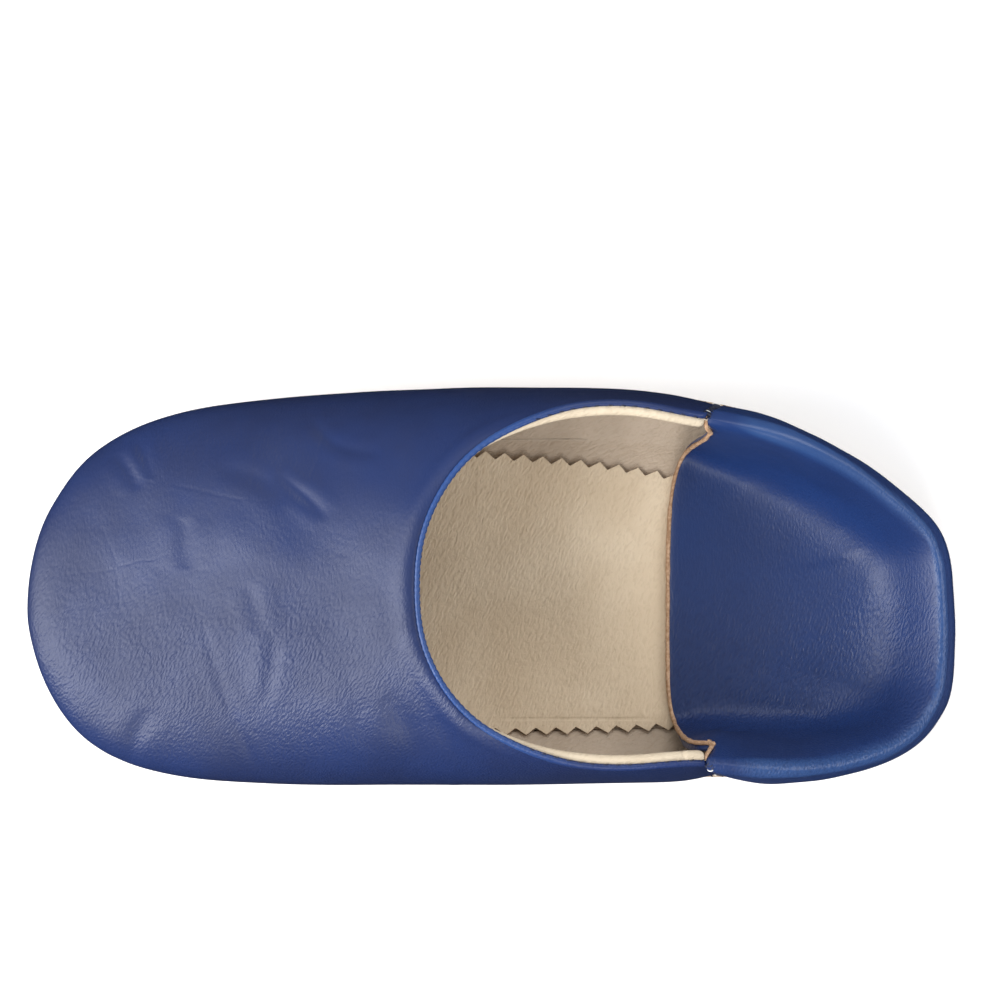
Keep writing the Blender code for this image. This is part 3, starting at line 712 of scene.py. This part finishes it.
def cord(name, line, out, half_width, half_height, sides):
    """A soft cord along a line, flattened against the leather under it, closed at its ends."""
    bpy.ops.object.select_all(action="DESELECT")
    bpy.ops.mesh.primitive_grid_add(x_subdivisions=len(line) - 1, y_subdivisions=sides, size=1)
    piece = bpy.context.object
    piece.name = piece.data.name = name
    grid = read(piece)
    station = (grid[:, 0] + 0.5) * (len(line) - 1)
    turn = (grid[:, 1] + 0.5) * 2 * math.pi
    along = unit(np.gradient(line, axis=0))
    out = unit(out - along * (out * along).sum(1)[:, None])
    across = np.cross(along, out)
    at = lambda rows: np.stack([np.interp(station, np.arange(len(line)), axis) for axis in rows.T], 1)
    size = at(np.stack([half_width + np.zeros(len(line)), half_height + np.zeros(len(line))], 1))
    ring = at(across) * (size[:, 0] * np.cos(turn))[:, None]
    ring += at(out) * (size[:, 1] * np.sin(turn))[:, None]
    write(piece, at(line) + ring)
    bpy.ops.object.mode_set(mode="EDIT")
    bpy.ops.mesh.select_all(action="SELECT")
    bpy.ops.mesh.remove_doubles(threshold=0.000002)
    bpy.ops.mesh.normals_make_consistent(inside=False)
    bpy.ops.object.mode_set(mode="OBJECT")
    piece.data.shade_smooth()
    return piece


def swollen(count, ends=6):
    """Full along the middle of a cord and nothing at its two ends."""
    steps = np.arange(count)
    rise = np.minimum(steps, steps[::-1]) / ends
    return np.sqrt(1 - (1 - np.clip(rise, 0, 1)) ** 2)


def facing(line, points, normals, near):
    """The leather's own outward direction along a line, averaged over its nearest points."""
    tree = tree_of(points)
    found = [[hit[1] for hit in tree.find_n(spot, near)] for spot in line]
    return unit(np.array([normals[hits].mean(0) for hits in found]))


throat_out = facing(throat_line, vamp_points, vamp_normals, 30)
for _ in range(30):
    throat_out[1:-1] = (throat_out[:-2] + throat_out[1:-1] + throat_out[2:]) / 3
throat_out = unit(throat_out)
throat_along = unit(np.gradient(throat_line, axis=0))
to_opening = np.cross(throat_along, throat_out)
to_opening *= np.sign((to_opening * (np.array(OPENING_MIDDLE) - throat_line)).sum(1))[:, None]
throat_run = np.arange(len(throat_line)) * SEAM_STEP
at_sides = np.clip((throat_line[:, 0] + 0.004) / 0.020, 0, 1)
scallop = np.cos(2 * math.pi * throat_run / HEM_PITCH) * 0.00012
hem_width = (0.00080 + 0.00065 * at_sides + scallop * (1 - at_sides)) * swollen(len(throat_line))
hem_line = throat_line - throat_out * (0.0004 + 0.0001 * at_sides)[:, None]
hem = cord("throat_hem", hem_line, throat_out, hem_width, HEM_HALF_HEIGHT, 10)
mark_seam(hem)
# The hem is the vamp's own leather, painted lighter and lighter still at the front: a painted highlight on
# the bead
hem_highlit_blue = blue_leather("blue_hem_leather_painted_highlight", 20, (0.0100, 0.0250, 0.105), (0.0070, 0.0190, 0.082), 0.36)
hem.data.materials.append(hem_highlit_blue.material)
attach(hem, "root")


# At the collar's sides the natural leather lining is turned over a cord, so it shows as a paler roll
# along the inside of the hem.

ROLL_START = -0.006
roll_finish = pale_leather("lining_roll_leather", (0.50, 0.42, 0.31), (0.44, 0.36, 0.26), 60)
behind = throat_line[:, 0] > ROLL_START
sides_of_throat = [np.flatnonzero(behind & (throat_line[:, 1] * sign > 0)) for sign in (1, -1)]
rolls = []
for label, pick in zip(("lateral", "medial"), sides_of_throat):
    full = np.clip((throat_line[pick, 0] - ROLL_START) / 0.03, 0, 1) ** 0.6
    line = throat_line[pick] - to_opening[pick] * 0.0002
    line -= throat_out[pick] * (0.0010 + 0.0015 * full)[:, None]
    thick = full * swollen(len(pick), 4)
    roll = cord(f"lining_roll_{label}", line, throat_out[pick], 0.0011 * thick, 0.0017 * thick, 8)
    roll.data.materials.append(roll_finish.material)
    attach(roll, "root")
    rolls.append(roll)


# The quarter's free edge lies on the insole, skived thin and left raw, so the tan middle of its
# leather shows as a narrow line.

edge_out = np.tile((0.0, 0.0, 1.0), (len(free_edge), 1))
raw_line = free_edge.copy()
raw_line += unit((np.array([0.02, 0, 0.02]) - free_edge) * (1, 1, 0)) * 0.0006
raw_line[:, 2] -= 0.0009
ruffle = np.array([noise.noise(Vector(spot) / 0.004) for spot in raw_line])
raw_width = (0.00062 + 0.00022 * ruffle) * swollen(len(free_edge))
raw_edge = cord("quarter_raw_edge", raw_line, edge_out, raw_width, 0.0010, 8)
raw_finish = Finish("raw_leather_edge", Roughness=0.8)
fuzz = raw_finish.noise(900, detail=3)
fibres = raw_finish.between(fuzz, 0.35, 0.65)
raw_finish.feed("Base Color", raw_finish.mixed(fibres, (0.46, 0.30, 0.19), (0.30, 0.17, 0.09)))
raw_finish.feed("Normal", raw_finish.raise_relief(fuzz, 0.0002, 0.6))
raw_edge.data.materials.append(raw_finish.material)
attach(raw_edge, "root")


# The upper is whipped to the sole all round with waxed dark thread, one short slanted stitch at a
# time, and a light thread crosses it round the toe. A short stretch by the heel has no stitches.

RAY_START = 0.005
RAY_REACH = 0.012
CLEAN_STRETCH = (0.0845, 0.105)
TOE_CROSSES_END = -0.066

depsgraph = bpy.context.evaluated_depsgraph_get()
outer_trees = [BVHTree.FromObject(piece, depsgraph) for piece in (sole, vamp, quarter)]


def settled(spot, out, rise, trees=outer_trees):
    """The place above the leather that is met on the way in from outside."""
    start = Vector(spot + out * RAY_START)
    hits = [tree.ray_cast(start, Vector(-out), RAY_REACH)[3] for tree in trees]
    reached = min([hit for hit in hits if hit is not None], default=RAY_START)
    return np.array(start) - out * (reached - rise)


def stitch(spot, along, out, low, high, slant, radius, bridge=0.5, trees=outer_trees):
    """One short stitch over a seam, from its low end to its high end, sunk in the leather at both."""
    along = along - out * np.dot(along, out)
    along /= np.linalg.norm(along)
    across = np.cross(along, out)
    stops = []
    for share, rise in ((0, -1.6), (0.14, 0.4), (0.5, 1), (0.86, 0.4), (1, -1.6)):
        reach = low + (high - low) * share
        above = spot + across * reach + along * slant * (share - 0.5)
        stops.append(settled(above, out, rise * radius, trees))
    stops[2] = (stops[1] + stops[3]) / 2 + out * radius * bridge
    line = evenly(np.array(stops), np.linalg.norm(stops[4] - stops[0]) / 7)
    thick = radius * (0.45 + 0.55 * swollen(len(line), 3))
    return cord("stitch", line, np.tile(out, (len(line), 1)), thick, thick, 6)


def sewn(name, stitches, finish):
    """Joins stitches into one piece of thread."""
    bpy.ops.object.select_all(action="DESELECT")
    for each in stitches:
        each.select_set(True)
    bpy.context.view_layer.objects.active = stitches[0]
    bpy.ops.object.join()
    thread = bpy.context.object
    thread.name = thread.data.name = name
    thread.data.materials.append(finish.material)
    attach(thread, "root")
    return thread


dark_thread = Finish("dark_waxed_thread", Roughness=0.55, Base_Color=(0.010, 0.014, 0.040, 1))
light_thread = Finish("light_thread", Roughness=0.7, Base_Color=(0.62, 0.62, 0.60, 1))
seam_along = unit(np.roll(seam_line[:-1], -2, axis=0) - np.roll(seam_line[:-1], 2, axis=0))
seam_out = unit(np.cross(seam_along, (0.0, 0.0, 1.0)))
seam_out *= np.sign((seam_out * (seam_line[:-1] * (1, 1, 0) - np.array([0.01, 0, 0]))).sum(1))[:, None]
whips, crosses = [], []
for count in range(seam_stitches):
    i = int((count + 0.5) / seam_stitches * (len(seam_line) - 1))
    spot, along, out = seam_line[i], seam_along[i], seam_out[i]
    if np.cross(along, out)[2] < 0:
        along = -along
    if CLEAN_STRETCH[0] < spot[0] < CLEAN_STRETCH[1] and spot[1] < 0:
        continue
    uneven = noise.noise(Vector(spot) * 900)
    low, slant = -0.0017 + 0.0003 * uneven, 0.0011 + 0.0003 * uneven
    whips.append(stitch(spot, along, out, low, 0.0011, slant, 0.00024))
    if spot[0] < TOE_CROSSES_END:
        crosses.append(stitch(spot, along, out, -0.0009, 0.0010, -0.0017, 0.00016, 2.2))
sewn("sole_seam_thread", whips, dark_thread)
sewn("toe_seam_light_thread", crosses, light_thread)


# Each side seam draws vamp and quarter together edge to edge with dark waxed cross stitches. Light
# thread knots it at its foot and near its top.

CROSS_PITCH = 0.0034
FIRST_CROSS = 0.0062
KNOT_HEIGHT = 0.0028

side_crosses, knots = [], []
for seam in side_seams:
    seam = seam if seam[0, 2] < seam[-1, 2] else seam[::-1]
    outs = facing(seam, vamp_points, vamp_normals, 40)
    ways = unit(np.gradient(seam, axis=0))
    for height in np.arange(FIRST_CROSS, len(seam) * SEAM_STEP - 0.001, CROSS_PITCH):
        i = min(int(height / SEAM_STEP), len(seam) - 1)
        lean = 0.0004 * noise.noise(Vector(seam[i]) * 700)
        side_crosses.append(stitch(seam[i], ways[i], outs[i], -0.0011, 0.0013, 0.0004 + lean, 0.00020))
    foot = seam[int(KNOT_HEIGHT / SEAM_STEP)]
    way, out = ways[5], outs[5]
    for slant in (-0.0006, 0.0007):
        knots.append(stitch(foot, way, out, -0.0013, 0.0015, slant, 0.00027))
    for back, slant in ((1, 0.0007), (3, -0.0007), (5, 0.0006), (8, -0.0004)):
        side_crosses.append(stitch(seam[-back], ways[-back], outs[-back], -0.0012, 0.0015, slant, 0.00022))
    knots.append(stitch(seam[-6], ways[-6], outs[-6], -0.0005, 0.0010, 0.0002, 0.00020))
sewn("side_seam_thread", side_crosses, dark_thread)
sewn("side_seam_knots", knots, light_thread)


# The collar's lining roll is caught down to the hem with small stitches of dark waxed thread, a few
# millimetres apart.

CATCH_PITCH = 0.0036
FIRST_CATCH = 0.010
depsgraph = bpy.context.evaluated_depsgraph_get()
collar_trees = [BVHTree.FromObject(piece, depsgraph) for piece in (hem, *rolls)]
catches = []
for pick in sides_of_throat:
    chosen = [i for i in pick if throat_line[i, 0] > FIRST_CATCH][:: int(CATCH_PITCH / SEAM_STEP)]
    for i in chosen:
        wobble = noise.noise(Vector(throat_line[i]) * 800)
        spot = throat_line[i] - throat_out[i] * 0.0013 + throat_along[i] * 0.0006 * wobble
        across = -throat_out[i] * (1, 1, 0)
        up = np.array((0.0, 0.0, 1.0))
        lean = 0.0004 * wobble
        catches.append(stitch(spot, across, up, -0.0006, 0.0007, lean, 0.00019, 0.3, collar_trees))
sewn("collar_thread", catches, dark_thread)


# The floor is a plain pale sheet. Five soft windows light it, the strongest from the toe's side, and
# neither the floor nor the sky shows in reflections.

bpy.ops.mesh.primitive_plane_add(size=6, location=(0, 0, -0.0002))
bpy.ops.object.transform_apply(location=True)
floor = bpy.context.object
floor.name = "floor"
floor_finish = Finish("pale_floor", Roughness=0.9, Base_Color=(0.86, 0.86, 0.86, 1))
floor.data.materials.append(floor_finish.material)
floor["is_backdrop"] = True
floor.visible_glossy = False

# Each one's place and size in metres, and its watts
SOFTBOXES = [
    ((-1.05, -0.35, 1.05), 0.9, 27),
    ((0.15, -1.25, 1.10), 0.9, 13),
    ((0.20, 1.20, 1.10), 0.9, 11),
    ((1.10, 0.10, 0.75), 0.7, 6),
    ((-1.25, -0.15, 0.28), 0.6, 12),
]
for count, (place, size, watts) in enumerate(SOFTBOXES):
    bpy.ops.object.light_add(type="AREA", location=place)
    box = bpy.context.object
    box.name = f"softbox_{count}"
    box.data.shape = "SQUARE"
    box.data.size = size
    box.data.energy = watts
    box.rotation_euler = (-Vector(place)).to_track_quat("-Z", "Y").to_euler()

world = bpy.data.worlds.new("studio")
world.use_nodes = True
world.node_tree.nodes["Background"].inputs[0].default_value = (0.95, 0.97, 1.0, 1)
world.node_tree.nodes["Background"].inputs[1].default_value = 0.80
world.cycles_visibility.glossy = False
bpy.context.scene.world = world
bpy.context.scene.view_settings.view_transform = "Standard"

# The camera hangs straight above with the toe to the left, as the photograph shows the slipper
PHOTO_SIZE = 1000
TOE_PIXEL, HEEL_PIXEL, MIDDLE_PIXEL = 28, 958, 586
OUTLINE_HEIGHT = 0.026
SENSOR_WIDTH = 36
CAMERA_HEIGHT = 2.4
length = cad_high.x - cad_low.x
pixel = length / (HEEL_PIXEL - TOE_PIXEL)
bpy.ops.object.camera_add()
camera = bpy.context.object
camera.data.sensor_width = SENSOR_WIDTH
camera.data.lens = SENSOR_WIDTH * (CAMERA_HEIGHT - OUTLINE_HEIGHT) / (PHOTO_SIZE * pixel)
camera.location = (
    (PHOTO_SIZE / 2 - (TOE_PIXEL + HEEL_PIXEL) / 2) * pixel,
    (MIDDLE_PIXEL - PHOTO_SIZE / 2) * pixel,
    CAMERA_HEIGHT,
)
camera.rotation_euler = (0, 0, 0)
bpy.context.scene.camera = camera

low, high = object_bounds()
